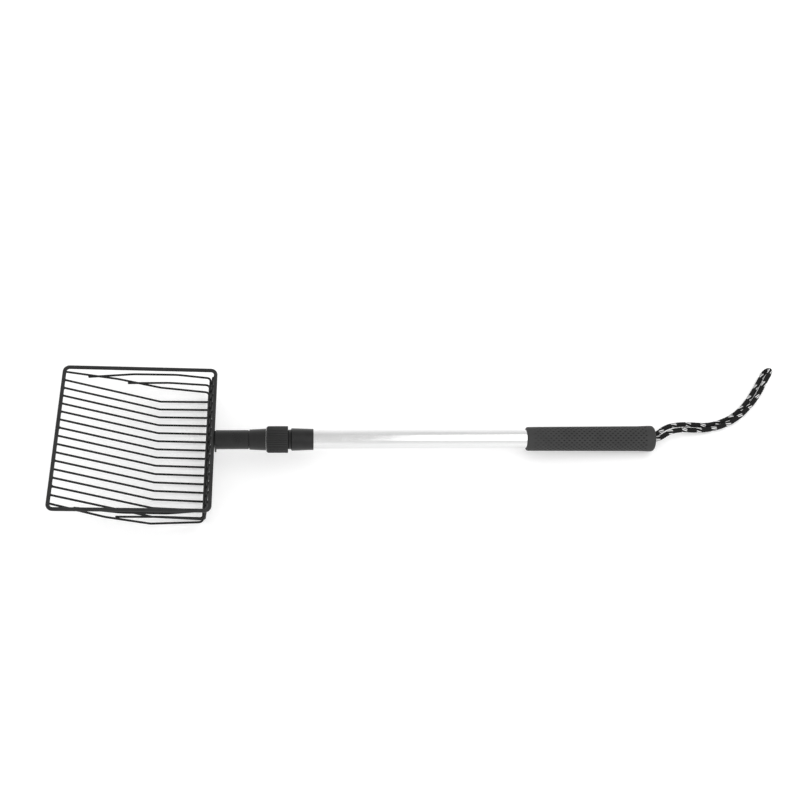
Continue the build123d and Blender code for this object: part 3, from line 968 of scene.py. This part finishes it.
collarShape = {
    "taper": 1.0 * mm,          # how much smaller its radius is at the socket
    "lip": 1.7 * mm,            # length of the lip under the nut
    "lipFall": 0.08 * mm,
    "shoulder": 1.3 * mm,       # these three are measured from the socket's end
    "grooveBack": 0.9 * mm,
    "grooveFront": 0.8 * mm,
    "grooveDepth": 0.35 * mm,
    "spigotInset": 1.05 * mm,   # the spigot is this much under the socket's own radius
    "boreGap": 0.02 * mm,
    "edgeRound": 0.12 * mm,
}


def makeCollar(material):
    # tapered collar with a thin groove where it meets the socket, and its spigot inside the socket
    shape = collarShape
    start, end, radius = poleSpan("collar")
    _, socketEnd, socketRadius = poleSpan("socket_tube")
    bore = min(math.hypot(p.y, p.z) for p in polePoints("collar")) + shape["boreGap"]
    front = radius - shape["taper"]
    spigot = socketRadius - shape["spigotInset"]
    outline = [(start, bore), (end, bore), (end, radius),
               (end - shape["lip"], radius - shape["lipFall"]),
               (socketEnd + shape["shoulder"], front),
               (socketEnd + shape["grooveBack"], front - shape["grooveDepth"]),
               (socketEnd + shape["grooveFront"], spigot), (start, spigot)]
    return turnedPiece("collarRing", rounded(outline, shape["edgeRound"]), material)


bodyShape = {
    "bore": 11.0 * mm,
    "chamfer": 1.1 * mm,
    "neck": 11.6 * mm,
    "neckStep": 0.35 * mm,      # the neck is this much thinner inside the nut
    "neckGap": (0.6 * mm, 0.9 * mm),   # start and end of that step behind the nut
    "underNut": 4 * mm,
    "crown": 0.9 * mm,          # length of the rounding behind the chamfer
    "crownFall": (0.05 * mm, 0.03 * mm),
    "lip": (2.0 * mm, 0.05 * mm),      # length and fall of the lip at the tube's end
    "lipCorner": (0.5 * mm, 0.3 * mm),
    "edgeRound": 0.2 * mm,
}


def makeSleeve(material):
    # visible end of the collet body, over the solid's own nose and neck
    shape = bodyShape
    points = polePoints("collet_body")
    end = max(p.x for p in points)
    big = max(points, key=lambda p: math.hypot(p.y, p.z))
    front = math.hypot(big.y, big.z)
    neckEnd = big.x - shape["chamfer"]
    back = max(math.hypot(p.y, p.z) for p in points if p.x > end - 1 * mm)
    nutEnd = poleSpan("lock_nut")[1]
    hidden = shape["neck"] - shape["neckStep"]
    stepStart, stepEnd = shape["neckGap"]
    edgeFall, crownFall = shape["crownFall"]
    outline = [(nutEnd - shape["underNut"], shape["bore"]), (end, shape["bore"]),
               (end, back - shape["lipCorner"][1]), (end - shape["lipCorner"][0], back),
               (end - shape["lip"][0], back - shape["lip"][1]),
               (neckEnd + shape["chamfer"] + shape["crown"], front - crownFall),
               (neckEnd + shape["chamfer"], front - edgeFall), (neckEnd, front - shape["chamfer"]),
               (neckEnd, shape["neck"]), (nutEnd + stepEnd, shape["neck"]),
               (nutEnd + stepStart, hidden), (nutEnd - shape["underNut"], hidden)]
    return turnedPiece("colletSleeve", rounded(outline, shape["edgeRound"]), material)


# weld beads
weldLook = {
    "size": 2.9 * mm,       # across a bead
    "flat": 0.62,           # its height over its width
    "uneven": 0.22,         # how much the beads differ in size
    "seed": 11,
    "frontSize": 1.15,      # shares of that size: on the front bar
    "hoopSize": 0.85,       # on the hoops
    "rimSize": 1.1,         # on the rear bar
    "endSize": 0.8,         # and at the ends of the hoops
    "reach": 2.6 * mm,      # wires nearer than this are welded
    "lumps": 2.2,           # how finely a bead is lumped
}
hoopWelds = {
    "lower_hoop": ["rim_frame"],
    "middle_hoop": ["lower_hoop", "rim_frame"],
    "upper_hoop": ["middle_hoop", "lower_hoop", "rim_frame"],
}


def wireTree(nodeName):
    mesh = nodes[nodeName].data
    mesh.calc_loop_triangles()
    return BVHTree.FromPolygons([v.co for v in mesh.vertices],
                                [t.vertices for t in mesh.loop_triangles])


def meanOf(points):
    return sum(points, Vector()) / len(points)


def nearestOn(tree, first, last):
    # the least distance from a straight run to a wire, and the place between them
    best = None
    for k in range(61):
        point = first.lerp(last, k / 60)
        found = tree.find_nearest(point)
        if best is None or found[3] < best[0]:
            best = (found[3], (point + found[0]) / 2)
    return best


def weldSpots():
    # places of the beads with their sizes: where floor wires cross the bars, and at the hoops' ends
    look = weldLook
    trees = {name: wireTree(name) for name in ["rim_frame", *hoopWelds]}
    spots = []
    for name in sorted(name for name in nodes if name.startswith("floor_wire_")):
        points = [v.co for v in nodes[name].data.vertices]
        first, last = min(p.x for p in points), max(p.x for p in points)
        lowest = min(p.z for p in points)
        front = meanOf([p for p in points if p.x < first + 1.2 * mm])
        wall = [p for p in points if p.x > last - 12 * mm and p.z > lowest + 3.5 * mm]
        topZ = max(p.z for p in wall)
        top = meanOf([p for p in wall if p.z > topZ - 1 * mm])
        foot = meanOf([p for p in wall if p.z < lowest + 8 * mm])
        spots.append((front, look["frontSize"]))
        for hoop in hoopWelds:
            distance, place = nearestOn(trees[hoop], foot, top)
            if distance < look["reach"]:
                spots.append((place, look["hoopSize"]))
        spots.append((nearestOn(trees["rim_frame"], foot, top)[1], look["rimSize"]))
    for name, others in hoopWelds.items():
        points = [v.co for v in nodes[name].data.vertices]
        for side in (-1, 1):
            half = [p for p in points if p.y * side > 0]
            tip = min(p.x for p in half)
            end = meanOf([p for p in half if p.x < tip + 1.5 * mm])
            behind = end + Vector((2 * mm, 0, 0))
            distance, place = min((nearestOn(trees[other], end, behind) for other in others),
                                  key=lambda found: found[0])
            if distance < look["reach"]:
                spots.append((place, look["endSize"]))
    return spots


def beadTree():
    tree, given, out = nodeTree("weldBeads", [
        ("Size", "Float"), ("Flat", "Float"), ("Uneven", "Float"), ("Seed", "Int"),
        ("Material", "Material")])
    ball = get(tree, "GeometryNodeMeshIcoSphere", Radius=0.5, Subdivisions=3)
    where = get(tree, "GeometryNodeInputPosition")
    lumps = put(tree, "ShaderNodeTexNoise", Scale=weldLook["lumps"], Detail=2.0,
                Vector=where).outputs["Fac"]
    swell = calc(tree, "MULTIPLY_ADD", lumps, 0.5, 0.75)
    lumpy = get(tree, "ShaderNodeVectorMath", {"operation": "SCALE"}, Vector=where, Scale=swell)
    blob = get(tree, "GeometryNodeSetPosition", Geometry=ball, Position=lumpy)
    own = get(tree, "GeometryNodeInputNamedAttribute", {"data_type": "FLOAT"}, Name="beadSize")
    change = put(tree, "FunctionNodeRandomValue", {"data_type": "FLOAT"}, Seed=given["Seed"],
                 i2=-1.0, i3=1.0)
    factor = calc(tree, "MULTIPLY_ADD", change.outputs[1], given["Uneven"], 1.0)
    wide = times(tree, times(tree, own, factor), given["Size"])
    scale = get(tree, "ShaderNodeCombineXYZ", X=wide, Y=wide, Z=times(tree, wide, given["Flat"]))
    spin = get(tree, "FunctionNodeRandomValue", {"data_type": "FLOAT_VECTOR"}, Seed=given["Seed"],
               i0=(-0.5, -0.5, 0), i1=(0.5, 0.5, 6.28))
    beads = get(tree, "GeometryNodeInstanceOnPoints", Points=given["Geometry"], Instance=blob,
                Rotation=spin, Scale=scale)
    real = get(tree, "GeometryNodeRealizeInstances", Geometry=beads)
    return finishTree(tree, real, given, out)


def makeWelds(material):
    spots = weldSpots()
    welds = meshObject("weldBeads", [place for place, _ in spots], [], material)
    sizes = welds.data.attributes.new("beadSize", "FLOAT", "POINT")
    sizes.data.foreach_set("value", [size for _, size in spots])
    useTree(welds, beadTree(), {"Size": weldLook["size"], "Flat": weldLook["flat"],
                                "Uneven": weldLook["uneven"], "Seed": weldLook["seed"],
                                "Material": material})
    finishNodes(welds, material)
    print("welds:", len(spots), "beads,", len(welds.data.polygons), "faces")
    return welds


# floor that stays under the lowest piece
# the pieces that the scoop can come to rest on in any of its poses
restingNodes = ["rim_frame", "lower_hoop", "floor_wire_01", "floor_wire_08", "floor_wire_15",
                "grip_sleeve", "upper_hoop"]


def makeFloor(material):
    half = studio["floorSize"] / 2
    corners = [(-half, -half, 0), (half, -half, 0), (half, half, 0), (-half, half, 0)]
    floor = meshObject("studioFloor", corners, [(0, 1, 2, 3)], material)
    labels = [f"Piece {k + 1}" for k in range(len(restingNodes))]
    tree, given, out = nodeTree("floorUnderObject", [(label, "Object") for label in labels]
                                + [("Material", "Material")])
    parts = [put(tree, "GeometryNodeObjectInfo", {"transform_space": "RELATIVE"},
                 Object=given[label]).outputs["Geometry"] for label in labels]
    low = put(tree, "GeometryNodeBoundBox", Geometry=joined(tree, *parts)).outputs["Min"]
    height = put(tree, "ShaderNodeSeparateXYZ", Vector=low).outputs["Z"]
    drop = get(tree, "ShaderNodeCombineXYZ", Z=height)
    moved = get(tree, "GeometryNodeSetPosition", Geometry=given["Geometry"], Offset=drop)
    finishTree(tree, moved, given, out, smooth=False)
    values = {label: nodes[name] for label, name in zip(labels, restingNodes)}
    useTree(floor, tree, {**values, "Material": material})


def floorMaterial():
    material, tree, shader = newMaterial("paperFloor")
    level = studio["floorColor"]
    fibre = noiseOf(tree, objectPlace(tree), 60 * mm, 3.0)
    color = blendColor(tree, fibre, grey(level * 0.995), grey(level))
    tree.links.new(color, shader.inputs["Base Color"])
    shader.inputs["Roughness"].default_value = 0.9
    shader.inputs["Specular IOR Level"].default_value = 0.1
    shader.inputs["Emission Color"].default_value = (1, 1, 1, 1)
    shader.inputs["Emission Strength"].default_value = studio["floorGlow"]
    return material


# putting it together
addCamera()
addStudio()
print("camera and light are set")

looks = {name: coatingMaterial(name) for name in coatings}
looks.update({name: plasticMaterial(name) for name in plastics})
speckStart = poleSpan("collet_body")[1] + poleMatrix.translation.x   # where the bare tube starts
looks.update({name: metalMaterial(name, speckStart) for name in metals})
looks["gripRubber"] = gripMaterial()
looks["cordBraid"] = cordMaterial()
print("finishes:", ", ".join(sorted(looks)))

cord, cordLine, cordLength = makeCord(looks["cordBraid"])
knot = makeKnot(looks["cordBraid"])

nodeFinish = {
    "rim_frame": "rimCoating", "lower_hoop": "wireCoating", "middle_hoop": "wireCoating",
    "upper_hoop": "wireCoating", "socket_plate": "socketCoating", "socket_tube": "socketCoating",
    "socket_rivet": "rivetAluminium", "inner_tube": "drawnAluminium", "guide_bush": "whiteAcetal",
    "outer_tube": "poleAluminium", "end_plug": "mouldedPlastic"}
nodeFinish.update({name: "wireCoating" for name in nodes if name.startswith("floor_wire_")})
for nodeName, finish in nodeFinish.items():
    for slot in nodes[nodeName].material_slots:
        slot.material = looks[finish]
print("solid pieces carried over:", len(nodeFinish))

grip = makeGrip(looks["gripRubber"])
nut, nutRibs = makeNut(looks["nutPlastic"], looks["nutGroovePaintedShade"])
collar = makeCollar(looks["mouldedPlastic"])
sleeve = makeSleeve(looks["mouldedPlastic"])
welds = makeWelds(looks["wireCoating"])

for piece, body, replaced, finish in (
        (cord, "handle", ["lanyard_cord"], "cord_fabric"),
        (knot, "handle", ["lanyard_knot"], "cord_fabric"),
        (grip, "handle", ["grip_sleeve"], "grip_rubber"),
        (nut, "lock_nut", ["lock_nut"], "nut_plastic"),
        (nutRibs, "lock_nut", [], "nut_plastic"),
        (collar, "basket", ["collar"], "black_plastic"),
        (sleeve, "handle", ["collet_body"], "black_plastic"),
        (welds, "basket", [], "black_coating")):
    if replaced:
        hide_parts(*replaced)
    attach(piece, body)

makeFloor(floorMaterial())
print("floor and pieces are in place")
